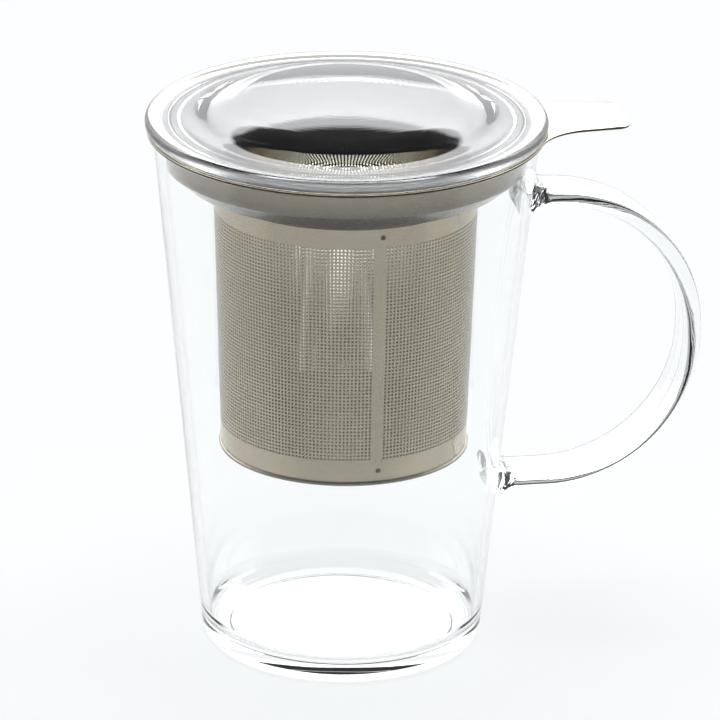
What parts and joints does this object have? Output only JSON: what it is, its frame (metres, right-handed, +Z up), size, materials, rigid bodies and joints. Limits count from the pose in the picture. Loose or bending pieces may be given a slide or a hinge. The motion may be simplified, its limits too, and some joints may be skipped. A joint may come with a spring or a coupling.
{
  "type": "lidded tea mug with infuser",
  "caption": "Tall tapered glass mug with a D-shaped strap handle, a lift-out perforated steel infuser with a grip tab, and a domed glass lid that lifts off",
  "frame": {"origin": "centre of the base, on the table, on the mug's axis", "axes": "+Z up along the mug's axis, +X towards the handle and the grip tab"},
  "size_m": [0.1295, 0.092, 0.1346],
  "materials": {
    "cup_glass": "clear blown borosilicate glass, fire polished",
    "handle_glass": "clear drawn borosilicate glass",
    "lid_glass": "clear pressed borosilicate glass",
    "polished_steel": "polished stainless steel pressing",
    "etched_steel": "etched stainless steel sheet, satin"
  },
  "bodies": {
    "mug": {"mug_cup": "cup_glass", "mug_handle": "handle_glass"},
    "infuser": {"infuser_collar": "polished_steel", "strainer_wall": "etched_steel", "strainer_base": "etched_steel"},
    "lid": {"lid_glass": "lid_glass"}
  },
  "joints": [
    {"name": "infuser_lift", "type": "slide", "parent": "mug", "child": "infuser", "axis": [0, 0, 1], "range_m": [0, 0.13]},
    {"name": "lid_lift", "type": "slide", "parent": "infuser", "child": "lid", "axis": [0, 0, 1], "range_m": [0, 0.05]}
  ]
}
